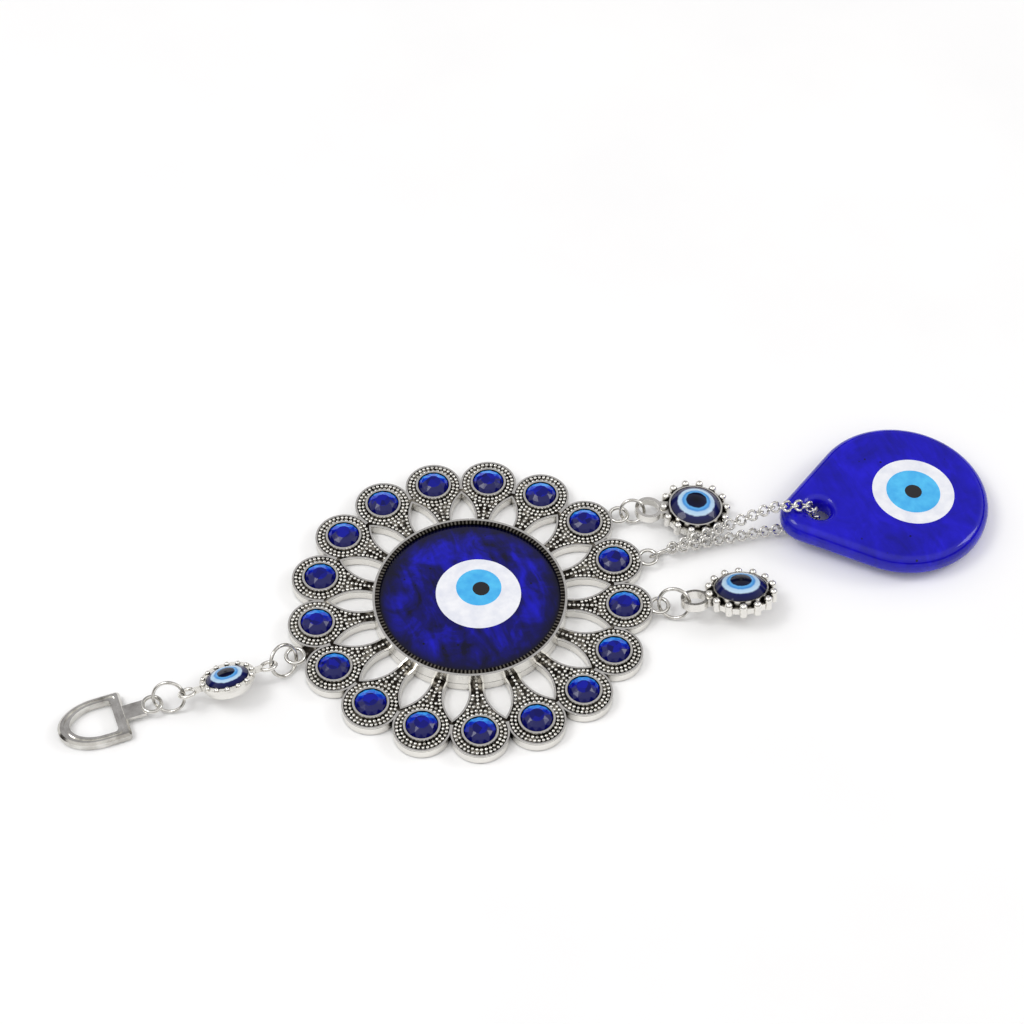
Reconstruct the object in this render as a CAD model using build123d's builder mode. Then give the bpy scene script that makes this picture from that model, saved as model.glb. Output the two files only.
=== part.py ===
from build123d import *

import os
from math import asin, cos, pi, radians, sin, sqrt

# An evil eye ornament, lying on its back.  A flower medallion with a domed glass
# eye hangs from a connector and a D-shaped hanger; two small eye charms and a
# glass teardrop hang under it, the teardrop on a chain that runs through its hole.
#
# Units are millimetres.  The origin is the centre of the medallion's back, +Z is
# up out of its face, and +X runs along the hanging line from hanger to teardrop.

# ---------------------------------------------------------------- medallion
PETALS = 17
GEM_CIRCLE = 30.0            # radius of the circle of rhinestone centres
HEAD_RADIUS = 5.6            # round head of a petal, concentric with its gem
BODY_RADIUS = 29.5           # solid web that carries the heads
PLATE_TOP = 1.9              # field of the petals
RIM_TOP = 2.15                # raised rim round each petal
RIM_WIDTH = 0.35
LEAF_CENTRE = 21.5           # widest place of the pointed gap between petals
LEAF_TIP = 27.4
LEAF_WIDTH = 4.8
HEADS_MEET = 28.5            # two heads run together outside this radius
CUP_OUTER = 18.9             # bezel round the central glass
CUP_INNER = 17.9
CUP_TOP = 4.7
CUP_FLOOR = 0.8
LIP_WIDTH = 0.3             # lip turned in over the glass
LIP_HEIGHT = 0.35

GEM_RADIUS = 3.05
GEM_TABLE = 1.6
GEM_FACETS = 16
GEM_POCKET = 3.15
GEM_CUP_RADIUS = 3.55
GEM_CUP_TOP = 2.8
GEM_SEAT = 1.95               # floor of a gem's cup
GEM_GIRDLE_TOP = 2.6
GEM_TOP = 3.6

ADHESIVE_RADIUS = 17.0
ADHESIVE_TOP = 1.1
GLASS_RADIUS = 17.8
GLASS_EDGE_TOP = 4.2         # height of the glass at its edge
GLASS_CROWN = 5.9            # height of the dome's top
EYE_SEAT = 3.4               # floor of the white layer
WHITE_AT = (1.5, -0.7)
WHITE_RADIUS = 8.25
IRIS_AT = (2.0, 0.5)
IRIS_RADIUS = 4.4
IRIS_SEAT = 4.0
PUPIL_AT = (2.3, 0.0)
PUPIL_RADIUS = 1.65
PUPIL_SEAT = 4.6

# ---------------------------------------------------------------- rings and loops
LOOP_RADIUS = 1.75           # centre line of a cast loop on the medallion
LOOP_WIRE = 0.4              # radius of its section
LOOP_HEIGHT = 1.7
LOOP_CIRCLE = 36.8           # distance of the lower loops from the origin
RIGHT_LOOP_ANGLE = 17.0
MIDDLE_LOOP_ANGLE = -1.8
LEFT_LOOP_ANGLE = -20.4
TOP_LOOP_X = -35.6
TOP_WEB = (5.4, 2.6)         # tongue that carries the top loop, length and width

FIT = 0.12                   # air between two wires that pull on each other
TABLE_GAP = 0.03             # the rings stand this far off the resting plane
LEAN = 60.0                  # how far the jump rings stand up from the table
SMALL_WIRE = 0.33            # radius of the wire of the two small rings
LARGE_WIRE = 0.36
SMALL_RING = 2.35            # radius of the ring's centre line
LONG_RING = 3.0
LARGE_RING = 3.05
SMALL_HOOK = (0.52, 0.1)     # where the wire crosses its loop, along and across
LARGE_HOOK = (0.2, -0.5)
TOP_RING_YAW = 211.0         # which way each ring is pulled
HANGER_RING_YAW = 157.0
LEFT_RING_YAW = -35.0
RIGHT_RING_YAW = -22.0
CHAIN_RING_YAW = 6.0

# ---------------------------------------------------------------- connector
EYELET_RADIUS = 1.45
EYELET_WIRE = 0.4
EYELET_LEVEL = 1.6
EYELET_REACH = 8.1           # eyelet centre from the connector's centre
CONNECTOR_TILT = (-2.2, 26.5)     # lean of the face towards +X and +Y
CONNECTOR_YAW = 180.7
CONNECTOR_WIRE_HEIGHT = 4.1  # the top ring leaves the eyelet at this height
CONNECTOR_RADIUS = 5.4
CONNECTOR_FOOT = 4.5         # the cup narrows to its back
CONNECTOR_WALL_TOP = 2.2
CONNECTOR_BEADS = 14
CONNECTOR_BEAD = 0.52
CONNECTOR_BEAD_CIRCLE = 4.85
CONNECTOR_EYE = 4.1
CONNECTOR_POCKET = 4.2
CONNECTOR_CROWN = 3.4
CONNECTOR_EDGE = 2.3

# ---------------------------------------------------------------- charms
CHARM_CUP = 5.35
CHARM_POCKET = 5.05
CHARM_FLOOR = 0.8
CHARM_CUP_TOP = 2.6
CHARM_POSTS = 14
CHARM_POST = 0.7
CHARM_POST_CIRCLE = 6.35
CHARM_POST_TOP = 2.0
CHARM_BALL = 0.8
CHARM_WEB_TOP = 1.5
CHARM_EYE = 4.95
CHARM_EDGE = 2.6
CHARM_CROWN = 4.4
CHARM_BAIL = 9.3             # bail centre from the charm's centre
BAIL_OUTER = 2.75
BAIL_INNER = 2.05
BAIL_HEIGHT = 1.6
BAIL_LEVEL = 1.1
LEFT_CHARM_TILT = (4.4, 19.7)     # lean of the face towards +X and +Y
RIGHT_CHARM_TILT = (5.0, 2.4)
LEFT_CHARM_YAW = -6.0
RIGHT_CHARM_YAW = -17.0
LEFT_WIRE_HEIGHT = 3.93      # the ring leaves the bail at this height
RIGHT_WIRE_HEIGHT = 2.68
LEFT_WIRE_IN_BAIL = 1.1     # the ring's wire, measured from the bail's centre
RIGHT_WIRE_IN_BAIL = 0.9

# ---------------------------------------------------------------- hanger
HANGER_WIRE_HEIGHT = 1.7
HANGER_REACH = 0.6           # the ring's wire, measured from the eyelet's centre
HANGER_EYELET = 1.75         # radius of the eyelet's centre line
HANGER_BACK = 0.08           # height of its back above the table
HANGER_THICKNESS = 1.75
HANGER_NECK = (1.75, 5.0, 3.2)    # from, to and width
HANGER_GROOVE = (0.5, 0.7)    # parts of the way from the D's outside to its hole
HANGER_GROOVE_DEPTH = 0.3
HANGER_BAR = 5.2             # the bar of the D, measured from the eyelet
HANGER_TURN = 10.3            # where its bow starts
HANGER_HALF = 5.3            # half width of the D
HANGER_BOW = 8.0             # how far the bow stands out
HANGER_HOLE_BAR = 7.4
HANGER_HOLE_HALF = 3.7
HANGER_HOLE_BOW = 5.7
HANGER_CORNER = 0.8
HANGER_BEVEL = 0.45

# ---------------------------------------------------------------- chain and drop
LINK_PITCH = 2.4
LINK_WIRE = 0.26
LINK_GAP = 0.1
LINK_END = 0.95              # radius of the round ends, centre line
LINK_TWIST = 40.0            # each end is turned this far out of the flat
RUNGS = 9                    # links in each strand, and round the glass
UPPER_ANGLE = 28.0           # where the strands hang, round the chain ring
LOWER_ANGLE = -14.0
FIRST_LINK = 0.75            # first link's centre from the wire it hangs on
CHAIN_TURN = 3.65            # radius of the chain's bend round the glass
TURN_SLIP = 0.58              # the upper strand starts this much nearer the ring
CHAIN_YAW = -12.0
TURN_TO_HOLE = 4.1           # from the bend's centre to the hole's centre

HOLE_AT = (71.43, -4.9)
HOLE_RADIUS = 2.3
HOLE_EDGE = 1.8
DROP_YAW = -4.5
DROP_TILT = 3.4
DROP_TIP = 5.5
DROP_TIP_AT = -2.2           # tip circle's centre, measured from the hole
DROP_LENGTH = 19.6           # from the tip circle's centre to the big circle's
DROP_BIG = 17.6
DROP_THICKNESS = 5.0
DROP_EDGE = 2.2
DROP_EYE_AT = (19.7, -0.3)
DROP_WHITE = 8.2
DROP_IRIS = 5.4
DROP_PUPIL = 1.7
DROP_WHITE_DEPTH = 1.5
DROP_IRIS_DEPTH = 1.0
DROP_PUPIL_DEPTH = 0.5

UP = Vector(0, 0, 1)


# ---------------------------------------------------------------- layout
def heading(yaw):
    """Unit vector in the table plane."""
    return Vector(cos(radians(yaw)), sin(radians(yaw)), 0)


def jump_ring(touch, yaw, side, radius, wire):
    """Plane of a jump ring pulled along yaw, whose wire passes through touch."""
    along = heading(yaw)
    slope = heading(yaw + 90 * side) * cos(radians(LEAN)) + UP * sin(radians(LEAN))
    reach = radius * sin(radians(LEAN))
    rise = asin((reach + wire + TABLE_GAP - touch.Z) / reach)
    centre = touch + along * (radius * cos(rise)) + slope * (radius * sin(rise))
    return Plane(origin=centre, x_dir=along, z_dir=along.cross(slope))


def crossing(loop, yaw, side, hook):
    """Where a ring pulled along yaw crosses the plane of its loop."""
    return loop + heading(yaw) * hook[0] + heading(yaw + 90 * side) * hook[1]


def far_angle(ring, radius, height):
    """Angle round a leaning ring, from its far side, at which its wire is that high."""
    return asin((height - ring.origin.Z) / (radius * sin(radians(LEAN))))


def on_ring(ring, radius, angle):
    """Point of a ring's centre line."""
    return ring.from_local_coords(Vector(radius * cos(angle), radius * sin(angle), 0))


def leaning(tilt, yaw):
    """X direction and normal of a piece that leans on its neighbour."""
    lean_x = sin(radians(tilt[0]))
    lean_y = sin(radians(tilt[1]))
    normal = Vector(lean_x, lean_y, sqrt(1 - lean_x**2 - lean_y**2))
    run = heading(yaw)
    return (run - normal * run.dot(normal)).normalized(), normal


def hung(wire_point, tilt, yaw, reach, level):
    """Plane of a piece whose eyelet lies reach behind its centre, at that level."""
    along, normal = leaning(tilt, yaw)
    return Plane(origin=wire_point + along * reach - normal * level, x_dir=along, z_dir=normal)


def section_of(plane):
    """Plane through a piece's axis, to draw a profile in as radius and height."""
    return Plane(origin=plane.origin, x_dir=plane.x_dir, z_dir=-plane.y_dir)


def square_to(direction, wanted):
    """The unit vector square to a direction that is nearest to the wanted one."""
    return (wanted - direction * direction.dot(wanted)).normalized()


right_loop = heading(RIGHT_LOOP_ANGLE) * LOOP_CIRCLE + UP * LOOP_HEIGHT
middle_loop = heading(MIDDLE_LOOP_ANGLE) * LOOP_CIRCLE + UP * LOOP_HEIGHT
left_loop = heading(LEFT_LOOP_ANGLE) * LOOP_CIRCLE + UP * LOOP_HEIGHT
top_loop = Vector(TOP_LOOP_X, 0, LOOP_HEIGHT)

top_touch = crossing(top_loop, TOP_RING_YAW, -1, LARGE_HOOK)
top_ring_at = jump_ring(top_touch, TOP_RING_YAW, -1, LARGE_RING, LARGE_WIRE)
left_touch = crossing(left_loop, LEFT_RING_YAW, 1, LARGE_HOOK)
left_ring_at = jump_ring(left_touch, LEFT_RING_YAW, 1, LARGE_RING, LARGE_WIRE)
right_touch = crossing(right_loop, RIGHT_RING_YAW, 1, SMALL_HOOK)
right_ring_at = jump_ring(right_touch, RIGHT_RING_YAW, 1, SMALL_RING, SMALL_WIRE)
chain_touch = crossing(middle_loop, CHAIN_RING_YAW, -1, SMALL_HOOK)
chain_ring_at = jump_ring(chain_touch, CHAIN_RING_YAW, -1, SMALL_RING, SMALL_WIRE)

top_exit_angle = far_angle(top_ring_at, LARGE_RING, CONNECTOR_WIRE_HEIGHT)
top_exit = on_ring(top_ring_at, LARGE_RING, top_exit_angle)
eyelet_slack = EYELET_RADIUS - EYELET_WIRE - FIT
connector_at = hung(top_exit, CONNECTOR_TILT, CONNECTOR_YAW,
                    EYELET_REACH + eyelet_slack - LARGE_WIRE, EYELET_LEVEL)

hanger_touch = connector_at.from_local_coords(
    Vector(EYELET_REACH + eyelet_slack - SMALL_WIRE, 0, EYELET_LEVEL))
hanger_ring_at = jump_ring(hanger_touch, HANGER_RING_YAW, -1, LONG_RING, SMALL_WIRE)
hanger_exit_angle = far_angle(hanger_ring_at, LONG_RING, HANGER_WIRE_HEIGHT)
hanger_exit = on_ring(hanger_ring_at, LONG_RING, hanger_exit_angle)
hanger_level = HANGER_WIRE_HEIGHT - HANGER_BACK
hanger_at = hung(hanger_exit, (0, 0), 180, HANGER_REACH, hanger_level)

left_exit_angle = far_angle(left_ring_at, LARGE_RING, LEFT_WIRE_HEIGHT)
left_exit = on_ring(left_ring_at, LARGE_RING, left_exit_angle)
left_charm_at = hung(left_exit, LEFT_CHARM_TILT, LEFT_CHARM_YAW,
                     CHARM_BAIL + LEFT_WIRE_IN_BAIL, BAIL_LEVEL)
right_exit_angle = far_angle(right_ring_at, SMALL_RING, RIGHT_WIRE_HEIGHT)
right_exit = on_ring(right_ring_at, SMALL_RING, right_exit_angle)
right_charm_at = hung(right_exit, RIGHT_CHARM_TILT, RIGHT_CHARM_YAW,
                      CHARM_BAIL + RIGHT_WIRE_IN_BAIL, BAIL_LEVEL)

# The drop lies on its far edge, its tip held up by the chain.
drop_heading = heading(DROP_YAW)
drop_x = drop_heading * cos(radians(DROP_TILT)) - UP * sin(radians(DROP_TILT))
drop_z = drop_heading * sin(radians(DROP_TILT)) + UP * cos(radians(DROP_TILT))
lowest_run = DROP_TIP_AT + DROP_LENGTH + DROP_BIG - DROP_EDGE
hole_height = (lowest_run * sin(radians(DROP_TILT)) + DROP_THICKNESS / 2 + 2 * TABLE_GAP)
drop_at = Plane(origin=Vector(HOLE_AT[0], HOLE_AT[1], hole_height), x_dir=drop_x, z_dir=drop_z)

chain_slew = radians(CHAIN_YAW - DROP_YAW)
chain_run = drop_at.x_dir * cos(chain_slew) + drop_at.y_dir * sin(chain_slew)
turn_centre = drop_at.origin - chain_run * TURN_TO_HOLE
upper_straight = (RUNGS * LINK_PITCH - pi * CHAIN_TURN) / 2 + TURN_SLIP
upper_joint = turn_centre - chain_run * upper_straight + drop_z * CHAIN_TURN
lower_joint = turn_centre - chain_run * (upper_straight - 2 * TURN_SLIP) - drop_z * CHAIN_TURN
upper_start = on_ring(chain_ring_at, SMALL_RING, radians(UPPER_ANGLE))
lower_start = on_ring(chain_ring_at, SMALL_RING, radians(LOWER_ANGLE))


def strand(start, end, first, wanted):
    """Planes of the links of a straight strand, X along it."""
    along = (end - start).normalized()
    step = ((end - start).length - FIRST_LINK - LINK_PITCH / 2) / (RUNGS - 1)
    up = square_to(along, wanted)
    return [Plane(origin=start + along * (first + step * k), x_dir=along, z_dir=up)
            for k in range(RUNGS)]


def turn_point(travel):
    """Point of the chain's way round the glass, travelled from the upper joint."""
    run = travel - upper_straight
    angle = min(max(run / CHAIN_TURN, 0), pi)
    overrun = run - angle * CHAIN_TURN
    along = chain_run * cos(angle) - drop_z * sin(angle)
    out = chain_run * sin(angle) + drop_z * cos(angle)
    return turn_centre + out * CHAIN_TURN + along * overrun


def turn():
    """Planes of the links that pass over the tip, through the hole and back."""
    joints = [turn_point(k * LINK_PITCH) for k in range(RUNGS + 1)]
    planes = []
    for start, end in zip(joints, joints[1:]):
        middle = (start + end) / 2
        along = (end - start).normalized()
        out = along.cross(chain_run.cross(drop_z)) * -1
        planes.append(Plane(origin=middle, x_dir=along, z_dir=out))
    return planes


upper_strand = strand(upper_start, upper_joint, FIRST_LINK, UP)
lower_strand = strand(lower_joint, lower_start, LINK_PITCH / 2, -UP)
link_planes = upper_strand + turn() + lower_strand

# ---------------------------------------------------------------- pieces
os.makedirs("parts", exist_ok=True)


def save(builder, name):
    """Label a finished piece and write it out."""
    builder.part.label = name
    export_step(builder.part, f"parts/{name}.step")


def leaf(margin=0.0):
    """Pointed gap between two petals, along +X, grown by a margin."""
    half_length = LEAF_TIP - LEAF_CENTRE
    arc_radius = (half_length**2 + (LEAF_WIDTH / 2) ** 2) / LEAF_WIDTH
    offset_down = arc_radius - LEAF_WIDTH / 2
    grown = arc_radius + margin
    with BuildSketch(mode=Mode.PRIVATE) as shape:
        with Locations((LEAF_CENTRE, -offset_down)):
            Circle(grown)
        with Locations((LEAF_CENTRE, offset_down)):
            Circle(grown, mode=Mode.INTERSECT)
    return shape.sketch


def medallion_frame():
    """Cast flower, its bezel cup, gem cups and four loops, in one casting."""
    half_pitch = 180 / PETALS
    with BuildPart() as frame:
        with BuildSketch():
            Circle(BODY_RADIUS)
            with PolarLocations(GEM_CIRCLE, PETALS):
                Circle(HEAD_RADIUS)
            with PolarLocations(0, PETALS, start_angle=half_pitch):
                add(leaf(), mode=Mode.SUBTRACT)
            Circle(CUP_OUTER - RIM_WIDTH, mode=Mode.SUBTRACT)
        extrude(amount=PLATE_TOP)
        with BuildSketch(Plane.XY.offset(PLATE_TOP)):
            with PolarLocations(GEM_CIRCLE, PETALS):
                Circle(HEAD_RADIUS)
            with PolarLocations(GEM_CIRCLE, PETALS):
                Circle(HEAD_RADIUS - RIM_WIDTH, mode=Mode.SUBTRACT)
            Circle(HEADS_MEET, mode=Mode.SUBTRACT)
            with PolarLocations(0, PETALS, start_angle=half_pitch):
                add(leaf(RIM_WIDTH))
            with PolarLocations(0, PETALS, start_angle=half_pitch):
                add(leaf(), mode=Mode.SUBTRACT)
            Circle(CUP_OUTER - RIM_WIDTH, mode=Mode.SUBTRACT)
        extrude(amount=RIM_TOP - PLATE_TOP)
        with BuildSketch(Plane.XZ):
            with BuildLine():
                Polyline((0, 0), (CUP_OUTER, 0), (CUP_OUTER, CUP_TOP),
                         (CUP_INNER - LIP_WIDTH, CUP_TOP),
                         (CUP_INNER - LIP_WIDTH, CUP_TOP - LIP_HEIGHT),
                         (CUP_INNER, CUP_TOP - LIP_HEIGHT), (CUP_INNER, CUP_FLOOR),
                         (0, CUP_FLOOR), close=True)
            make_face()
        revolve(axis=Axis.Z)
        with BuildSketch(Plane.XY.offset(PLATE_TOP)):
            with PolarLocations(GEM_CIRCLE, PETALS):
                Circle(GEM_CUP_RADIUS)
        extrude(amount=GEM_CUP_TOP - PLATE_TOP)
        with BuildSketch(Plane.XY.offset(GEM_SEAT)):
            with PolarLocations(GEM_CIRCLE, PETALS):
                Circle(GEM_POCKET)
        extrude(amount=GEM_CUP_TOP - GEM_SEAT, mode=Mode.SUBTRACT)
        with Locations((TOP_LOOP_X + LOOP_RADIUS + TOP_WEB[0] / 2, 0, PLATE_TOP / 2)):
            Box(TOP_WEB[0], TOP_WEB[1], PLATE_TOP)
        with Locations(right_loop, middle_loop, left_loop, top_loop):
            Torus(LOOP_RADIUS, LOOP_WIRE)
    return frame


def gems():
    """Seventeen flat-backed rhinestones, one solid each."""
    with BuildPart() as stones:
        with BuildSketch(Plane.XY.offset(GEM_SEAT)):
            with PolarLocations(GEM_CIRCLE, PETALS):
                RegularPolygon(GEM_RADIUS, GEM_FACETS)
        extrude(amount=GEM_GIRDLE_TOP - GEM_SEAT)
        for spot in PolarLocations(GEM_CIRCLE, PETALS):
            place = Plane(spot)
            with BuildSketch(place.offset(GEM_GIRDLE_TOP)):
                RegularPolygon(GEM_RADIUS, GEM_FACETS)
            with BuildSketch(place.offset(GEM_TOP)):
                RegularPolygon(GEM_TABLE, GEM_FACETS)
            loft()
    return stones


def dome(plane, radius, foot, edge, crown):
    """Domed glass on a plane: foot and edge are heights at the rim, crown the top."""
    with BuildPart(mode=Mode.PRIVATE) as shape:
        with BuildSketch(section_of(plane)):
            with BuildLine():
                Line((0, foot), (radius, foot))
                Line((radius, foot), (radius, edge))
                ThreePointArc((radius, edge), dome_point(radius, edge, crown), (0, crown))
                Line((0, crown), (0, foot))
            make_face()
        revolve(axis=Axis(plane.origin, plane.z_dir))
    return shape.part


def dome_point(radius, edge, crown):
    """Point halfway out on a dome whose top is level."""
    rise = crown - edge
    sphere = (radius**2 + rise**2) / (2 * rise)
    return (radius / 2, crown - sphere + sqrt(sphere**2 - (radius / 2) ** 2))


def column(plane, centre, radius, foot, height):
    """Round column on a plane, from its foot upwards."""
    with BuildPart(mode=Mode.PRIVATE) as shape:
        with BuildSketch(plane.offset(foot)):
            with Locations(centre):
                Circle(radius)
        extrude(amount=height)
    return shape.part


def layer(whole, plane, outer, inner):
    """One layer of an eye: the glass inside an outer column, less an inner one."""
    with BuildPart() as part:
        add(whole)
        add(column(plane, *outer), mode=Mode.INTERSECT)
        if inner:
            add(column(plane, *inner), mode=Mode.SUBTRACT)
    return part


def connector_setting():
    """Round setting with a beaded edge and an eyelet at each end."""
    with BuildPart(connector_at) as setting:
        with BuildSketch(section_of(connector_at)):
            with BuildLine():
                Polyline((0, 0), (CONNECTOR_FOOT, 0), (CONNECTOR_RADIUS, EYELET_LEVEL),
                         (CONNECTOR_RADIUS, CONNECTOR_WALL_TOP),
                         (CONNECTOR_POCKET, CONNECTOR_WALL_TOP),
                         (CONNECTOR_POCKET, CHARM_FLOOR), (0, CHARM_FLOOR), close=True)
            make_face()
        revolve(axis=Axis(connector_at.origin, connector_at.z_dir))
        with Locations((0, 0, CONNECTOR_WALL_TOP)):
            with PolarLocations(CONNECTOR_BEAD_CIRCLE, CONNECTOR_BEADS):
                Sphere(CONNECTOR_BEAD)
        eyelet_root = EYELET_REACH - EYELET_RADIUS
        for end in (-1, 1):
            with Locations((end * EYELET_REACH, 0, EYELET_LEVEL)):
                Torus(EYELET_RADIUS, EYELET_WIRE)
            with Locations((end * (eyelet_root + CONNECTOR_FOOT) / 2, 0, EYELET_LEVEL)):
                Box(eyelet_root - CONNECTOR_FOOT, 3 * EYELET_WIRE, 2 * EYELET_WIRE)
        with BuildSketch(connector_at.offset(CHARM_FLOOR)):
            Circle(CONNECTOR_POCKET)
        extrude(amount=CONNECTOR_CROWN, mode=Mode.SUBTRACT)
    return setting


def charm_setting():
    """Small eye's setting: a cup, a ring of ball-tipped posts and a bail."""
    with BuildPart() as setting:
        with BuildSketch():
            Circle(CHARM_CUP)
        extrude(amount=CHARM_CUP_TOP)
        with BuildSketch(Plane.XY.offset(BAIL_LEVEL - BAIL_HEIGHT / 2)):
            Circle(CHARM_POST_CIRCLE)
        extrude(amount=CHARM_WEB_TOP - BAIL_LEVEL + BAIL_HEIGHT / 2)
        with PolarLocations(CHARM_POST_CIRCLE, CHARM_POSTS):
            Cylinder(CHARM_POST, CHARM_POST_TOP, align=(Align.CENTER, Align.CENTER, Align.MIN))
        with Locations((0, 0, CHARM_POST_TOP)):
            with PolarLocations(CHARM_POST_CIRCLE, CHARM_POSTS):
                Sphere(CHARM_BALL)
        with BuildSketch(Plane.XY.offset(BAIL_LEVEL - BAIL_HEIGHT / 2)):
            with Locations((-CHARM_BAIL, 0)):
                Circle(BAIL_OUTER)
            with Locations((-(CHARM_BAIL - BAIL_INNER + CHARM_CUP) / 2, 0)):
                Rectangle(CHARM_BAIL - BAIL_INNER - CHARM_CUP, 2 * BAIL_HEIGHT)
            with Locations((-CHARM_BAIL, 0)):
                Circle(BAIL_INNER, mode=Mode.SUBTRACT)
        extrude(amount=BAIL_HEIGHT)
        with BuildSketch(Plane.XY.offset(CHARM_FLOOR)):
            Circle(CHARM_POCKET)
        extrude(amount=CHARM_CROWN, mode=Mode.SUBTRACT)
    return setting


def hanger():
    """D-shaped hanger with a groove round its face and an eyelet on its bar's middle."""
    with BuildPart(hanger_at) as bow:
        with BuildSketch(hanger_at):
            add(hanger_outline(0))
        extrude(amount=HANGER_THICKNESS)
        face = bow.faces().sort_by(Axis(hanger_at.origin, hanger_at.z_dir))[-1]
        chamfer(face.edges(), HANGER_BEVEL)
        with BuildSketch(hanger_at):
            add(hanger_outline(1))
        extrude(amount=HANGER_THICKNESS, mode=Mode.SUBTRACT)
        outside, inside = HANGER_GROOVE
        with BuildSketch(hanger_at.offset(HANGER_THICKNESS)):
            add(hanger_outline(outside))
            add(hanger_outline(inside), mode=Mode.SUBTRACT)
        extrude(amount=-HANGER_GROOVE_DEPTH, mode=Mode.SUBTRACT)
        near, far, width = HANGER_NECK
        with Locations(((near + far + HANGER_BEVEL) / 2, 0, hanger_level - EYELET_WIRE)):
            Box(far - near + 2 * HANGER_BEVEL, width, 2 * EYELET_WIRE)
        with Locations((0, 0, hanger_level)):
            Torus(HANGER_EYELET, EYELET_WIRE)
    return bow


def hanger_outline(inset):
    """Outline of the D, that part of the way from its outside to its hole."""
    bar = HANGER_BAR + inset * (HANGER_HOLE_BAR - HANGER_BAR)
    half_width = HANGER_HALF + inset * (HANGER_HOLE_HALF - HANGER_HALF)
    bow = HANGER_BOW + inset * (HANGER_HOLE_BOW - HANGER_BOW)
    return d_outline(bar, half_width, bow)


def d_outline(bar, half_width, bow):
    """Outline of a D: a straight bar, then an elliptic bow."""
    with BuildSketch(mode=Mode.PRIVATE) as outline:
        with Locations((HANGER_TURN, 0)):
            Ellipse(bow, half_width)
            Rectangle(bow, 2 * half_width, align=(Align.MAX, Align.CENTER), mode=Mode.SUBTRACT)
        with Locations((HANGER_TURN, 0)):
            Rectangle(HANGER_TURN - bar, 2 * half_width, align=(Align.MAX, Align.CENTER))
        fillet(outline.vertices().sort_by(Axis.X)[:2], HANGER_CORNER)
    return outline.sketch


def chain_link():
    """One twisted link: round ends, each turned out of the flat, and S-shaped sides."""
    half = (LINK_PITCH + LINK_GAP) / 2 + LINK_WIRE - LINK_END
    side = LINK_END * cos(radians(LINK_TWIST))
    lift = LINK_END * sin(radians(LINK_TWIST))
    with BuildPart() as link:
        for end in (-1, 1):
            high = -end * lift
            tip = (end * (half + LINK_END), 0, 0)
            with BuildLine():
                TangentArc((end * half, side, high), (0, side, 0), tangent=(-end, 0, 0))
                ThreePointArc((end * half, side, high), tip, (end * half, -side, -high))
                TangentArc((end * half, -side, -high), (0, -side, 0), tangent=(-end, 0, 0))
            with BuildSketch(Plane(origin=tip, x_dir=(1, 0, 0), z_dir=(0, side, high))):
                Circle(LINK_WIRE)
            sweep()
    return link


def drop_body():
    """Flat teardrop with rounded edges and a rounded hole near its tip."""
    with BuildPart(drop_at) as body:
        with BuildSketch(drop_at.offset(-DROP_THICKNESS / 2)) as outline:
            with Locations((DROP_TIP_AT, 0)):
                Circle(DROP_TIP)
            with Locations((DROP_TIP_AT + DROP_LENGTH, 0)):
                Circle(DROP_BIG)
            make_hull()
        extrude(amount=DROP_THICKNESS)
        flats = body.faces().filter_by(GeomType.PLANE).sort_by(
            Axis(drop_at.origin, drop_at.z_dir))
        fillet(flats[0].edges() + flats[-1].edges(), DROP_EDGE)
        with BuildSketch(drop_at.offset(-DROP_THICKNESS / 2)):
            Circle(HOLE_RADIUS)
        extrude(amount=DROP_THICKNESS, mode=Mode.SUBTRACT)
        rims = [edge for edge in body.edges().filter_by(GeomType.CIRCLE)
                if abs(edge.radius - HOLE_RADIUS) < FIT]
        fillet(rims, HOLE_EDGE)
    return body


def drop_column(radius, depth):
    """Place of one flat layer of the drop's eye: centre, radius, foot and height."""
    return DROP_EYE_AT, radius, DROP_THICKNESS / 2 - depth, DROP_THICKNESS


save(medallion_frame(), "medallion_frame")
save(gems(), "gems")

with BuildPart() as adhesive:
    with BuildSketch(Plane.XY.offset(CUP_FLOOR)):
        Circle(ADHESIVE_RADIUS)
    extrude(amount=ADHESIVE_TOP - CUP_FLOOR)
save(adhesive, "eye_adhesive")

eye = dome(Plane.XY, GLASS_RADIUS, ADHESIVE_TOP, GLASS_EDGE_TOP, GLASS_CROWN)
white_place = (WHITE_AT, WHITE_RADIUS, EYE_SEAT, GLASS_CROWN)
iris_place = (IRIS_AT, IRIS_RADIUS, IRIS_SEAT, GLASS_CROWN)
pupil_place = (PUPIL_AT, PUPIL_RADIUS, PUPIL_SEAT, GLASS_CROWN)
with BuildPart() as eye_glass:
    add(eye)
    add(column(Plane.XY, *white_place), mode=Mode.SUBTRACT)
save(eye_glass, "eye_glass")
save(layer(eye, Plane.XY, white_place, iris_place), "eye_white")
save(layer(eye, Plane.XY, iris_place, pupil_place), "eye_iris")
save(layer(eye, Plane.XY, pupil_place, None), "eye_pupil")

save(connector_setting(), "connector_setting")
with BuildPart() as connector_eye:
    add(dome(connector_at, CONNECTOR_EYE, CHARM_FLOOR, CONNECTOR_EDGE, CONNECTOR_CROWN))
save(connector_eye, "connector_eye")
save(hanger(), "hanger")

charm_shape = charm_setting()
charm_dome = dome(Plane.XY, CHARM_EYE, CHARM_FLOOR, CHARM_EDGE, CHARM_CROWN)
for side_name, charm_at in (("left", left_charm_at), ("right", right_charm_at)):
    with BuildPart(charm_at) as placed_setting:
        add(charm_shape.part)
    save(placed_setting, f"{side_name}_charm_setting")
    with BuildPart(charm_at) as charm_eye:
        add(charm_dome)
    save(charm_eye, f"{side_name}_charm_eye")

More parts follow.
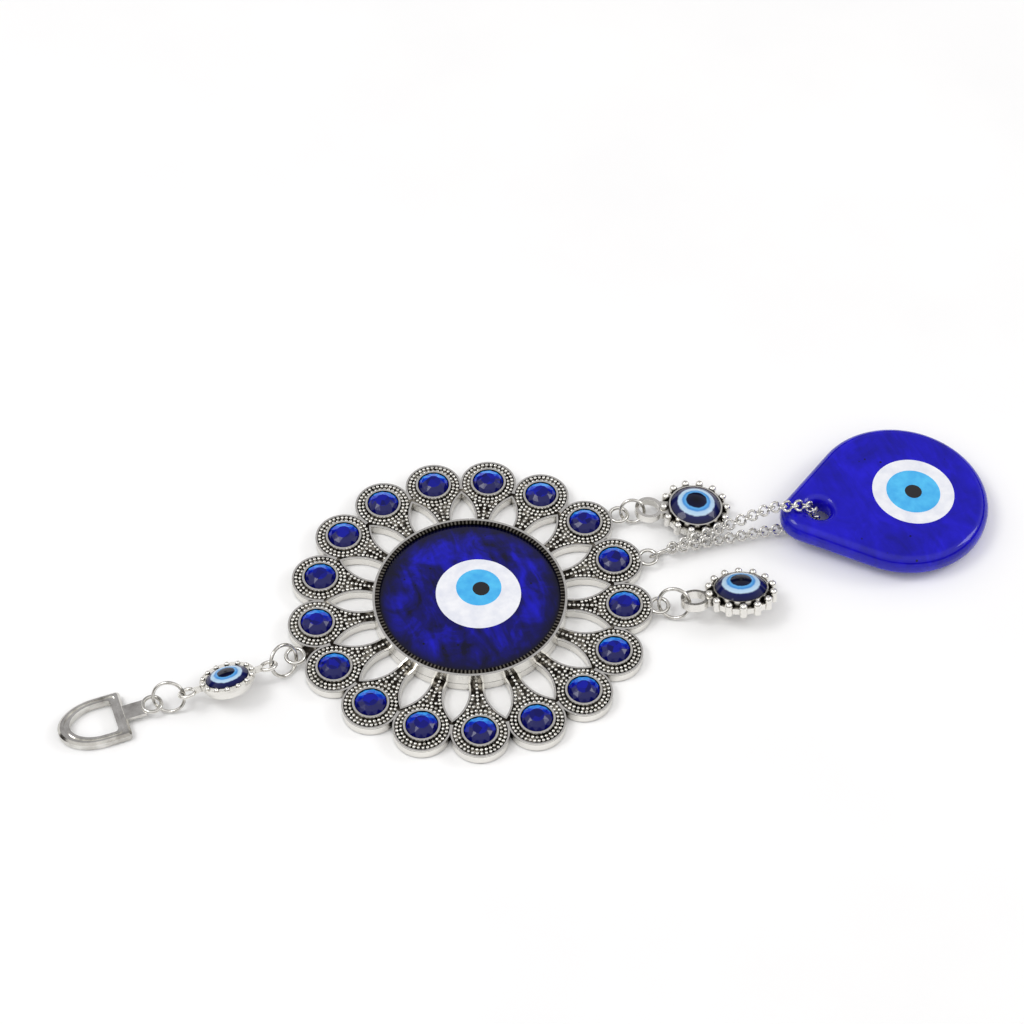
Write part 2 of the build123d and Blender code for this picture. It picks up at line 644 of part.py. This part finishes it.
for ring_name, ring_at, ring_radius, ring_wire in (
        ("top_ring", top_ring_at, LARGE_RING, LARGE_WIRE),
        ("hanger_ring", hanger_ring_at, LONG_RING, SMALL_WIRE),
        ("left_charm_ring", left_ring_at, LARGE_RING, LARGE_WIRE),
        ("right_charm_ring", right_ring_at, SMALL_RING, SMALL_WIRE),
        ("chain_ring", chain_ring_at, SMALL_RING, SMALL_WIRE)):
    with BuildPart(ring_at) as jump:
        Torus(ring_radius, ring_wire)
    save(jump, ring_name)

link_shape = chain_link()
for number, link_plane in enumerate(link_planes, 1):
    with BuildPart(link_plane) as placed_link:
        add(link_shape.part)
    save(placed_link, f"chain_link_{number:02d}")

drop = drop_body()
drop_white_place = drop_column(DROP_WHITE, DROP_WHITE_DEPTH)
drop_iris_place = drop_column(DROP_IRIS, DROP_IRIS_DEPTH)
drop_pupil_place = drop_column(DROP_PUPIL, DROP_PUPIL_DEPTH)
with BuildPart() as drop_glass:
    add(drop.part)
    add(column(drop_at, *drop_white_place), mode=Mode.SUBTRACT)
save(drop_glass, "drop_glass")
save(layer(drop.part, drop_at, drop_white_place, drop_iris_place), "drop_white")
save(layer(drop.part, drop_at, drop_iris_place, drop_pupil_place), "drop_iris")
save(layer(drop.part, drop_at, drop_pupil_place, None), "drop_pupil")
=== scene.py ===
from math import ceil, cos, pi, radians, sin, sqrt

import bpy
from mathutils import Matrix, Vector


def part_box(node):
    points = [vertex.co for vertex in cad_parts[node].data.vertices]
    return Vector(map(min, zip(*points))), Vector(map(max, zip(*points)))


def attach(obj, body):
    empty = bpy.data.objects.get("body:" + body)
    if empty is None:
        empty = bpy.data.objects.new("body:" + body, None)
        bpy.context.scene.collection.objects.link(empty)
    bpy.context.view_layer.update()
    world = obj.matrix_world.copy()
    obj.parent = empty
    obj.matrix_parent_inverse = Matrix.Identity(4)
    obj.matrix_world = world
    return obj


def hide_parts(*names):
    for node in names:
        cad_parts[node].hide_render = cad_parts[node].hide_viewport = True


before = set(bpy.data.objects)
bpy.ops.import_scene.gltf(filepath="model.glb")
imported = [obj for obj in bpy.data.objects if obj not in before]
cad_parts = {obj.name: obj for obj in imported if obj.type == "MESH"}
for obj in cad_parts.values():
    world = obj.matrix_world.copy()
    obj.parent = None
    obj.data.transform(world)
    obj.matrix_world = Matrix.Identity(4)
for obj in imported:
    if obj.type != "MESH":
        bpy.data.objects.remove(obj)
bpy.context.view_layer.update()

# An evil eye ornament lying on a pale table: antiqued silver flower with a cobalt
# glass eye, blue rhinestones, two small eye charms, a hanger and a glass teardrop.

MM = 0.001

# Sizes of the solid model that the added pieces and materials follow, millimetres.
PETALS = 17
PITCH = 2 * pi / PETALS
GEM_CIRCLE = 30.0
FIELD = 1.9                  # height of the petals' sunk field
LEAF_CENTRE = 21.5
LEAF_TIP = 27.4
LEAF_WIDTH = 4.8
BEZEL = 18.9
MILLING = 18.45              # outer radius of the bezel's milled, blackened inside
MILLING_FOOT = 3.0           # the milling is above this height
MILLING_TEETH = 150
BEAD = 0.39                  # radius of a silver grain
BEAD_SIDES = 8
BEAD_RINGS = 5
BEAD_FLATNESS = 0.85         # height over width
BEAD_STEP = 0.86             # grain spacing along a row
GRAIN_RINGS = (4.0, 4.79)   # two rings of grains round each stone
GRAIN_ROWS = (0.76, 1.5, 2.24)      # rows of grains, measured in from a leaf gap
STONE_KEEP = 5.4            # the rows stop at this distance from the stone
GIRDLE = 3.05                # stone radius
STONE_SIDES = 12
STONE_TIERS = ((0.62, 0.8), (0.53, 0.6))    # each tier's share of the crown, and its shrink
GIRDLE_LOW = 1.95
GIRDLE_HIGH = 2.6
STONE_TOP = 3.6
HIGHLIGHT_SIDE = (0.34, 0.94, 0.0)       # the side of each stone whose facets get a painted azure highlight
EYE_PAINTED_SHADE = (14.0, 17.4)      # painted shade: the central glass darkens towards its outer edge by the bezel, between these radii
DROP_ROUND = 17.6            # radius of the teardrop's round end
DROP_MIDDLE = 4.0            # height of the middle of the teardrop
DROP_PAINTED_LIGHT = (22.0, 40.0)     # painted light: the teardrop pales between these distances from its round end
CHARM_RINGS = 5.4            # radius of a charm's printed rings
CONNECTOR_EYE = 0.82         # size of the connector's eye next to a charm's

# The table, metres.
TABLE_SIZE = 6.0
TABLE_LEVEL = -0.0002

# Lights: place and width in metres, power in watts.
KEY_SPOT = (-0.4, 0.1, 0.7)
KEY_TARGET = (0, 0, 0)
KEY_WIDTH = 0.3
KEY_POWER = 1.6
SIDE_SPOT = (0.7, -0.1, 0.5)
SIDE_TARGET = (0.03, 0, 0)
SIDE_WIDTH = 0.25
SIDE_POWER = 1.0
ROOM_POWER = 1.22
ROOM_SHADE = (0.21, 0.58, 0.79)     # the greyer part of the room, which level metal mirrors

# Camera, metres, and lens and sensor in millimetres.
VIEW_SPOT = Vector((-0.1007, -0.29964, 0.43408))
VIEW_RIGHT = Vector((0.9396, -0.3424, 0.0004))
VIEW_AHEAD = Vector((0.2115, 0.5795, -0.7871))
LENS = 96.75
SENSOR = 36.0
NEAREST = 0.01


# ---------------------------------------------------------------- materials
def linear(code):
    """sRGB hex colour as linear RGBA."""
    out = []
    for i in (1, 3, 5):
        c = int(code[i:i + 2], 16) / 255
        out.append(c / 12.92 if c <= 0.04045 else ((c + 0.055) / 1.055) ** 2.4)
    return (*out, 1.0)


def node(tree, kind, settings=None, **links):
    """Add a node; each link gives a socket, by name or as inN, a value or another socket."""
    made = tree.nodes.new(kind)
    for key, value in (settings or {}).items():
        setattr(made, key, value)
    for key, value in links.items():
        numbered = key.startswith("in") and key[2:].isdigit()
        socket = made.inputs[int(key[2:]) if numbered else key.replace("_", " ")]
        if isinstance(value, bpy.types.NodeSocket):
            tree.links.new(value, socket)
        else:
            socket.default_value = value
    return made


def new_material(name):
    """Empty node material and its shader."""
    made = bpy.data.materials.new(name)
    made.use_nodes = True
    tree = made.node_tree
    return made, tree, tree.nodes["Principled BSDF"]


def colours(tree, factor, *stops):
    """Colour ramp between (place, hex) stops."""
    ramp = node(tree, "ShaderNodeValToRGB", Fac=factor)
    band = ramp.color_ramp
    while len(band.elements) < len(stops):
        band.elements.new(1.0)
    for element, (place, code) in zip(band.elements, stops):
        element.position = place
        element.color = linear(code)
    return ramp.outputs["Color"]


def object_place(tree):
    """Object coordinates socket."""
    return node(tree, "ShaderNodeTexCoord").outputs["Object"]


def noise(tree, place, millimetres, detail=3.0, rough=0.55, distortion=0.0):
    """Noise, from 0 to 1, whose blotches are about that many millimetres across."""
    made = node(tree, "ShaderNodeTexNoise", None, Vector=place, Scale=1 / (millimetres * MM),
                Detail=detail, Roughness=rough, Distortion=distortion)
    return made.outputs["Fac"]


def mix_colour(tree, factor, first, second):
    """Mix two colours."""
    made = node(tree, "ShaderNodeMix", {"data_type": "RGBA"}, in0=factor, in6=first, in7=second)
    return made.outputs[2]


def maths(tree, operation, first, second=0.0):
    """One arithmetic step."""
    made = node(tree, "ShaderNodeMath", {"operation": operation}, in0=first, in1=second)
    return made.outputs[0]


def bump(tree, height, strength, depth_mm):
    """Bump from a height field that is that many millimetres deep."""
    made = node(tree, "ShaderNodeBump", None, Height=height, Strength=strength,
                Distance=depth_mm * MM)
    return made.outputs["Normal"]


def antiqued_silver(name, black_below, bezel=False):
    """Zinc alloy cast in a mould, silver plated, blackened and then buffed.

    The sunk places keep the black, and the raised ones are bright, with a soft casting
    ripple and uneven gloss.  The flower also has its milled bezel and sooty petals.
    """
    made, tree, shader = new_material(name)
    place = object_place(tree)
    hollow = node(tree, "ShaderNodeAmbientOcclusion", {"samples": 8}, Distance=1.1 * MM)
    worn = noise(tree, place, 1.3)
    open_sky = maths(tree, "ADD", hollow.outputs["AO"], maths(tree, "MULTIPLY", worn, 0.22))
    silver = colours(tree, open_sky, (black_below, "#17140F"), (black_below + 0.18, "#8F8B83"),
                     (black_below + 0.36, "#E9E7E2"))
    if bezel:
        silver = milled_bezel(tree, place, worn, silver)
        silver = sooty_petals(tree, place, worn, silver)
    tree.links.new(silver, shader.inputs["Base Color"])
    shader.inputs["Metallic"].default_value = 1.0
    gloss = noise(tree, place, 0.6, 2.0)
    rough = node(tree, "ShaderNodeMapRange", None, Value=gloss, To_Min=0.13, To_Max=0.34)
    tree.links.new(rough.outputs[0], shader.inputs["Roughness"])
    ripple = bump(tree, noise(tree, place, 0.7, 3.0), 0.3, 0.05)
    tree.links.new(ripple, shader.inputs["Normal"])
    return made


def milled_bezel(tree, place, worn, silver):
    """The silver colour with a blackened, milled band inside the bezel's edge."""
    split = node(tree, "ShaderNodeSeparateXYZ", None, Vector=place)
    radius = maths(tree, "SQRT", maths(tree, "ADD",
                   maths(tree, "MULTIPLY", split.outputs["X"], split.outputs["X"]),
                   maths(tree, "MULTIPLY", split.outputs["Y"], split.outputs["Y"])))
    inside = maths(tree, "LESS_THAN", radius, MILLING * MM)
    high = maths(tree, "GREATER_THAN", split.outputs["Z"], MILLING_FOOT * MM)
    turn = maths(tree, "ARCTAN2", split.outputs["Y"], split.outputs["X"])
    teeth = maths(tree, "SINE", maths(tree, "MULTIPLY", turn, MILLING_TEETH))
    milled = colours(tree, maths(tree, "ADD", maths(tree, "MULTIPLY", teeth, 0.5), worn),
                     (0.45, "#16130F"), (1.0, "#8A857B"))
    return mix_colour(tree, maths(tree, "MULTIPLY", inside, high), silver, milled)


def sooty_petals(tree, place, worn, silver):
    """The silver colour with a blackened field on the petals, between the grains."""
    level = node(tree, "ShaderNodeSeparateXYZ", None, Vector=place).outputs["Z"]
    below = maths(tree, "LESS_THAN", level, (FIELD + 0.06) * MM)
    above = maths(tree, "GREATER_THAN", level, (FIELD - 0.06) * MM)
    soot = colours(tree, worn, (0.3, "#0E0C0A"), (0.52, "#3A362F"), (0.68, "#B5B0A6"))
    return mix_colour(tree, maths(tree, "MULTIPLY", below, above), silver, soot)


def bright_plating(name, code, low, high, grain_mm):
    """Nickel plated wire or casting, tumbled: bright, with fine wear and a pale cast."""
    made, tree, shader = new_material(name)
    place = object_place(tree)
    wear = noise(tree, place, grain_mm, 4.0)
    tree.links.new(colours(tree, wear, (0.25, "#8E8B85"), (0.5, code), (0.8, "#F1F0EC")),
                   shader.inputs["Base Color"])
    shader.inputs["Metallic"].default_value = 1.0
    rough = node(tree, "ShaderNodeMapRange", None, Value=wear, To_Min=low, To_Max=high)
    tree.links.new(rough.outputs[0], shader.inputs["Roughness"])
    tree.links.new(bump(tree, wear, 0.2, 0.03), shader.inputs["Normal"])
    return made


def cobalt_glass(name, centre, painted_edge_mm, painted_edge_tone, tones):
    """Hand-pressed cobalt glass: streaks, blotches and dark specks under a wet gloss, and a
    painted tone towards one edge: painted shade at the eye glass's outer edge, painted light at
    the teardrop's tip.
    """
    made, tree, shader = new_material(name)
    place = object_place(tree)
    blotch = noise(tree, place, 7.0, 4.0, 0.6, 0.9)
    swirl = node(tree, "ShaderNodeMapping", None, Vector=place, Rotation=(0, 0, 0.6),
                 Scale=(1.0, 0.28, 1.0))
    streak = noise(tree, swirl.outputs[0], 3.2, 3.0, 0.5, 1.4)
    depth = maths(tree, "ADD", maths(tree, "MULTIPLY", blotch, 0.62),
                  maths(tree, "MULTIPLY", streak, 0.38))
    body = colours(tree, depth, *tones)
    # painted light and shade: towards the edge the glass takes the painted edge tone
    away = node(tree, "ShaderNodeVectorMath", {"operation": "DISTANCE"}, in0=place,
                in1=tuple(centre))
    painted_edge = node(tree, "ShaderNodeMapRange", None, Value=away.outputs["Value"],
               From_Min=painted_edge_mm[0] * MM, From_Max=painted_edge_mm[1] * MM)
    body = mix_colour(tree, painted_edge.outputs[0], body, linear(painted_edge_tone))
    speck = node(tree, "ShaderNodeTexVoronoi", None, Vector=place, Scale=1 / (3.4 * MM))
    pit = node(tree, "ShaderNodeMapRange", None, Value=speck.outputs["Distance"],
               From_Min=0.05, From_Max=0.09)
    body = mix_colour(tree, pit.outputs[0], linear("#04041C"), body)
    tree.links.new(body, shader.inputs["Base Color"])
    shader.inputs["IOR"].default_value = 1.52
    shader.inputs["Roughness"].default_value = 0.05
    shader.inputs["Specular IOR Level"].default_value = 0.3
    tree.links.new(bump(tree, noise(tree, place, 9.0, 1.0), 0.25, 0.3), shader.inputs["Normal"])
    return made


def opal_glass(name, code, shade):
    """Opaque glass dropped on while hot: even colour, soft clouding, wet gloss."""
    made, tree, shader = new_material(name)
    place = object_place(tree)
    cloud = noise(tree, place, 2.2, 3.0)
    tree.links.new(colours(tree, cloud, (0.3, shade), (0.7, code)), shader.inputs["Base Color"])
    shader.inputs["IOR"].default_value = 1.52
    shader.inputs["Roughness"].default_value = 0.07
    shader.inputs["Coat Weight"].default_value = 0.5
    tree.links.new(bump(tree, noise(tree, place, 5.0, 1.0), 0.15, 0.2), shader.inputs["Normal"])
    return made


def ringed_eye(name, apex, scale):
    """Small resin cabochon printed with pale rings round a dark pupil: crisp, low gloss."""
    made, tree, shader = new_material(name)
    place = object_place(tree)
    away = node(tree, "ShaderNodeVectorMath", {"operation": "DISTANCE"}, in0=place,
                in1=tuple(apex)).outputs["Value"]
    ragged = maths(tree, "MULTIPLY", maths(tree, "SUBTRACT", noise(tree, place, 0.8), 0.5),
                   0.35 * MM)
    radius = maths(tree, "MULTIPLY", maths(tree, "ADD", away, ragged),
                   1 / (CHARM_RINGS * scale * MM))
    rings = colours(tree, radius, (0.0, "#0A0B16"), (0.37, "#0B1030"), (0.41, "#5FA8E2"),
                    (0.5, "#3E86CF"), (0.56, "#A9CBE6"), (0.68, "#B9D3E8"), (0.73, "#141B55"),
                    (1.0, "#0A0D33"))
    tree.links.new(rings, shader.inputs["Base Color"])
    shader.inputs["IOR"].default_value = 1.5
    shader.inputs["Roughness"].default_value = 0.06
    shader.inputs["Specular IOR Level"].default_value = 0.25
    return made


def rhinestone_painted_highlight(name):
    """Acrylic stone on a foil back: deep blue facets with painted shade, a painted azure
    highlight on the facets that face one side, and painted glints.
    """
    made, tree, shader = new_material(name)
    place = object_place(tree)
    # painted glints: random cells lighten some facets
    painted_glints = node(tree, "ShaderNodeTexVoronoi", None, Vector=place, Scale=1 / (1.5 * MM))
    tone = node(tree, "ShaderNodeSeparateColor", None, Color=painted_glints.outputs["Color"])
    # painted highlight and shade: facets facing one side are painted azure, those facing away
    # dark blue
    lean = node(tree, "ShaderNodeVectorMath", {"operation": "DOT_PRODUCT"},
                in0=node(tree, "ShaderNodeNewGeometry").outputs["True Normal"],
                in1=HIGHLIGHT_SIDE)
    painted_highlight = maths(tree, "ADD", lean.outputs["Value"],
                maths(tree, "MULTIPLY", tone.outputs[0], 0.22))
    tree.links.new(colours(tree, painted_highlight, (0.0, "#030654"), (0.22, "#06129A"), (0.45, "#0A40CC"),
                           (0.68, "#2F9BF5")), shader.inputs["Base Color"])
    shader.inputs["Roughness"].default_value = 0.1
    shader.inputs["Specular IOR Level"].default_value = 0.35
    return made


def set_adhesive(name):
    """Two-part adhesive, cured: milky amber, a little tacky looking."""
    made, tree, shader = new_material(name)
    place = object_place(tree)
    tree.links.new(colours(tree, noise(tree, place, 4.0), (0.3, "#C9C1A4"), (0.7, "#E2DCC8")),
                   shader.inputs["Base Color"])
    shader.inputs["Roughness"].default_value = 0.45
    return made


def pale_table(name):
    """White photographic board: matt, with a trace of unevenness."""
    made, tree, shader = new_material(name)
    place = object_place(tree)
    tree.links.new(colours(tree, noise(tree, place, 60.0), (0.2, "#F4F4F5"), (0.8, "#FAFAFA")),
                   shader.inputs["Base Color"])
    shader.inputs["Roughness"].default_value = 0.7
    return made


# ---------------------------------------------------------------- modelling by hand
def only(*objects):
    """Select these objects and nothing else."""
    bpy.ops.object.select_all(action="DESELECT")
    for thing in objects:
        thing.select_set(True)
    bpy.context.view_layer.objects.active = objects[0]


def copy_moved(source, matrix):
    """A copy with its own mesh, moved in the mesh."""
    twin = source.copy()
    twin.data = source.data.copy()
    twin.data.transform(matrix)
    bpy.context.collection.objects.link(twin)
    return twin


def joined(parts, name):
    """Join parts into one object."""
    only(*parts)
    bpy.ops.object.join()
    whole = bpy.context.view_layer.objects.active
    whole.name = name
    return whole


def settle():
    """Put the active object's place into its mesh."""
    bpy.ops.object.transform_apply(location=True, rotation=True, scale=True)


def grain():
    """One silver grain, at the origin: a ball pressed a little flat."""
    bpy.ops.object.select_all(action="DESELECT")
    bpy.ops.mesh.primitive_uv_sphere_add(segments=BEAD_SIDES, ring_count=BEAD_RINGS,
                                         radius=BEAD * MM)
    made = bpy.context.view_layer.objects.active
    bpy.ops.object.mode_set(mode="EDIT")
    bpy.ops.mesh.select_all(action="SELECT")
    bpy.ops.transform.resize(value=(1.0, 1.0, BEAD_FLATNESS), center_override=(0, 0, 0))
    bpy.ops.object.mode_set(mode="OBJECT")
    bpy.ops.object.shade_smooth()
    return made


def row_along_leaf(margin):
    """Grain places on one side of a petal that lies along +X, in from a leaf gap."""
    half_length = LEAF_TIP - LEAF_CENTRE
    arc = (half_length**2 + (LEAF_WIDTH / 2) ** 2) / LEAF_WIDTH
    sink = arc - LEAF_WIDTH / 2
    around = arc + margin
    places = []
    steps = ceil(half_length / BEAD_STEP) * 2
    for k in range(-steps, steps + 1):
        turn = k * BEAD_STEP / around
        leaf_x = LEAF_CENTRE + around * sin(turn)
        leaf_y = around * cos(turn) - sink
        x = leaf_x * cos(PITCH / 2) + leaf_y * sin(PITCH / 2)
        y = leaf_y * cos(PITCH / 2) - leaf_x * sin(PITCH / 2)
        clear_of_stone = sqrt((x - GEM_CIRCLE) ** 2 + y**2) > STONE_KEEP
        clear_of_bezel = sqrt(x**2 + y**2) > BEZEL + BEAD
        if clear_of_stone and clear_of_bezel and y < -2 * BEAD and x < LEAF_TIP:
            places.append((x, y))
    return places


def grain_places():
    """All grain places on the petal that lies along +X."""
    places = []
    for ring in GRAIN_RINGS:
        count = round(2 * pi * ring / BEAD_STEP)
        for k in range(count):
            turn = 2 * pi * k / count
            places.append((GEM_CIRCLE + ring * cos(turn), ring * sin(turn)))
    for margin in GRAIN_ROWS:
        for x, y in row_along_leaf(margin):
            places.append((x, y))
            places.append((x, -y))
    neck_start = BEZEL + BEAD_STEP / 2
    neck_end = GEM_CIRCLE - STONE_KEEP
    for k in range(ceil((neck_end - neck_start) / BEAD_STEP)):
        places.append((neck_start + k * BEAD_STEP, 0.0))
    return places


def petal_grains():
    """The rows of silver grains on all the petals."""
    seed = grain()
    beads = [copy_moved(seed, Matrix.Translation(Vector((x, y, FIELD + BEAD / 2)) * MM))
             for x, y in grain_places()]
    bpy.data.objects.remove(seed)
    petal = joined(beads, "petal")
    petals = [copy_moved(petal, Matrix.Rotation(k * PITCH, 4, "Z")) for k in range(PETALS)]
    bpy.data.objects.remove(petal)
    return joined(petals, "petal_grains")


def pick_top(thing):
    """Select an object's highest level face and enter edit mode."""
    mesh = thing.data
    for edge in mesh.edges:
        edge.select = False
    for corner in mesh.vertices:
        corner.select = False
    highest = max(face.center.z for face in mesh.polygons)
    for face in mesh.polygons:
        face.select = face.normal.z > 0.9 and face.center.z > highest - 0.01 * MM
    bpy.ops.object.mode_set(mode="EDIT")


def rhinestones():
    """Faceted stones: a girdle, two tiers of facets and a flat table."""
    bpy.context.tool_settings.mesh_select_mode = (False, False, True)
    bpy.ops.object.select_all(action="DESELECT")
    height = (GIRDLE_HIGH - GIRDLE_LOW) * MM
    spot = Vector((GEM_CIRCLE, 0, (GIRDLE_LOW + GIRDLE_HIGH) / 2)) * MM
    bpy.ops.mesh.primitive_cylinder_add(vertices=STONE_SIDES, radius=GIRDLE * MM,
                                        depth=height, location=spot)
    stone = bpy.context.view_layer.objects.active
    settle()
    middle = (GEM_CIRCLE * MM, 0, 0)
    for rise, shrink in STONE_TIERS:
        pick_top(stone)
        bpy.ops.mesh.extrude_region_move(
            TRANSFORM_OT_translate={"value": (0, 0, rise * (STONE_TOP - GIRDLE_HIGH) * MM)})
        bpy.ops.transform.resize(value=(shrink, shrink, 1.0), center_override=middle)
        bpy.ops.transform.rotate(value=pi / STONE_SIDES, orient_axis="Z", center_override=middle)
        bpy.ops.object.mode_set(mode="OBJECT")
    only(stone)
    bpy.ops.object.mode_set(mode="EDIT")
    bpy.ops.mesh.select_all(action="SELECT")
    bpy.ops.mesh.quads_convert_to_tris()
    bpy.ops.mesh.normals_make_consistent(inside=False)
    bpy.ops.object.mode_set(mode="OBJECT")
    stones = [copy_moved(stone, Matrix.Rotation(k * PITCH, 4, "Z")) for k in range(PETALS)]
    bpy.data.objects.remove(stone)
    return joined(stones, "rhinestones")


def apex(name, lean_x, lean_y):
    """Top of a domed stone whose face leans by those degrees towards +X and +Y."""
    across = (sin(radians(lean_x)), sin(radians(lean_y)))
    face = Vector((*across, sqrt(1 - across[0] ** 2 - across[1] ** 2)))
    return max((v.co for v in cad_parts[name].data.vertices), key=face.dot).copy()


def dress(name, material):
    """Give a CAD node its material."""
    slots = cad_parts[name].data.materials
    slots.clear()
    slots.append(material)


# ---------------------------------------------------------------- dressing the nodes
cast = antiqued_silver("antiqued_cast_silver", 0.5)
flower = antiqued_silver("antiqued_flower_silver", 0.34, bezel=True)
wire = bright_plating("bright_nickel_wire", "#D3D1CC", 0.1, 0.26, 1.6)
links = bright_plating("bright_chain_wire", "#DAD8D4", 0.1, 0.24, 0.9)
polished = bright_plating("polished_hanger_plating", "#CFCDC8", 0.06, 0.2, 3.5)
white = opal_glass("opal_white_glass", "#F0F1F6", "#DCDFEA")
sky = opal_glass("opal_sky_blue_glass", "#4FC0F2", "#36A5E6")
black = opal_glass("black_glass", "#0A0A10", "#050508")
eye_low, eye_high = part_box("eye_glass")
eye_centre = (eye_low + eye_high) / 2
# the near-black edge tone is painted shade at the glass's outer edge
eye_cobalt = cobalt_glass("streaky_cobalt_glass", eye_centre, EYE_PAINTED_SHADE, "#03031C",
                          ((0.38, "#05042A"), (0.5, "#0A0868"), (0.64, "#1412B4")))
drop_low, drop_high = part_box("drop_glass")
drop_centre = Vector((drop_high.x - DROP_ROUND * MM, (drop_low.y + drop_high.y) / 2,
                      DROP_MIDDLE * MM))
# the pale edge tone is painted light towards the teardrop's tip
drop_cobalt = cobalt_glass("clear_cobalt_glass", drop_centre, DROP_PAINTED_LIGHT, "#1226DC",
                           ((0.3, "#0D0789"), (0.5, "#140BAE"), (0.7, "#1D13CC")))

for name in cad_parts:
    if name.startswith("chain_link"):
        dress(name, links)
    elif name.endswith("ring"):
        dress(name, wire)
    elif name.endswith("setting"):
        dress(name, cast)
dress("medallion_frame", flower)
dress("hanger", polished)
dress("eye_glass", eye_cobalt)
dress("drop_glass", drop_cobalt)
dress("eye_adhesive", set_adhesive("cured_adhesive"))
for prefix in ("eye", "drop"):
    dress(prefix + "_white", white)
    dress(prefix + "_iris", sky)
    dress(prefix + "_pupil", black)
for name, lean, size in (("left_charm_eye", (4.4, 19.7), 1.0),
                         ("right_charm_eye", (5.0, 2.4), 1.0),
                         ("connector_eye", (-2.2, 26.5), CONNECTOR_EYE)):
    dress(name, ringed_eye("ringed_" + name, apex(name, *lean), size))

grains = petal_grains()
grains.data.materials.append(bright_plating("buffed_silver_grains", "#D8D6D1", 0.12, 0.3, 1.2))
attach(grains, "medallion")

stones = rhinestones()
# the stones' material paints an azure highlight and shade on their facets
stones.data.materials.append(rhinestone_painted_highlight("blue_rhinestone_painted_highlight"))
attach(stones, "medallion")
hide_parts("gems")

# ---------------------------------------------------------------- table, light, camera
bpy.ops.object.select_all(action="DESELECT")
bpy.ops.mesh.primitive_plane_add(size=TABLE_SIZE, location=(0, 0, TABLE_LEVEL))
table = bpy.context.view_layer.objects.active
table.name = "table"
settle()
table.data.materials.append(pale_table("white_board"))


def soft_light(name, spot, target, size, watts):
    """Square softbox aimed at a point."""
    bpy.ops.object.light_add(type="AREA", location=spot)
    lamp = bpy.context.view_layer.objects.active
    lamp.name = name
    lamp.data.size = size
    lamp.data.energy = watts
    aim = (Vector(target) - Vector(spot)).to_track_quat("-Z", "Y")
    lamp.rotation_euler = aim.to_euler()


soft_light("key_softbox", KEY_SPOT, KEY_TARGET, KEY_WIDTH, KEY_POWER)
soft_light("side_softbox", SIDE_SPOT, SIDE_TARGET, SIDE_WIDTH, SIDE_POWER)

studio = bpy.data.worlds.new("studio")
bpy.context.scene.world = studio
studio.use_nodes = True
tent = studio.node_tree
facing = node(tent, "ShaderNodeVectorMath", {"operation": "DOT_PRODUCT"},
              in0=node(tent, "ShaderNodeTexCoord").outputs["Generated"],
              in1=Vector(ROOM_SHADE).normalized())
room = colours(tent, facing.outputs["Value"], (0.0, "#DCDAD8"), (0.35, "#FFFFFF"),
               (0.72, "#F7F6F4"), (0.88, "#BDBCBC"), (1.0, "#A5A4A6"))
height = node(tent, "ShaderNodeSeparateXYZ", None,
              Vector=node(tent, "ShaderNodeTexCoord").outputs["Generated"])
# a dark gap between the walls' lights and the ceiling's gives the silver its contrast
gap = colours(tent, height.outputs["Z"], (0.1, "#FFFFFF"), (0.16, "#3A3836"), (0.34, "#3A3836"),
              (0.42, "#FFFFFF"))
shade = node(tent, "ShaderNodeMix", {"data_type": "RGBA", "blend_type": "MULTIPLY"},
             in0=1.0, in6=room, in7=gap)
tent.links.new(shade.outputs[2], tent.nodes["Background"].inputs["Color"])
tent.nodes["Background"].inputs["Strength"].default_value = ROOM_POWER
bpy.context.scene.view_settings.view_transform = "Standard"

bpy.ops.object.camera_add(location=VIEW_SPOT)
camera = bpy.context.view_layer.objects.active
camera.data.lens = LENS
camera.data.sensor_width = SENSOR
camera.data.clip_start = NEAREST
ahead = VIEW_AHEAD.normalized()
right = (VIEW_RIGHT - ahead * VIEW_RIGHT.dot(ahead)).normalized()
upward = right.cross(ahead)
camera.rotation_euler = Matrix((right, upward, -ahead)).transposed().to_euler()
bpy.context.scene.camera = camera
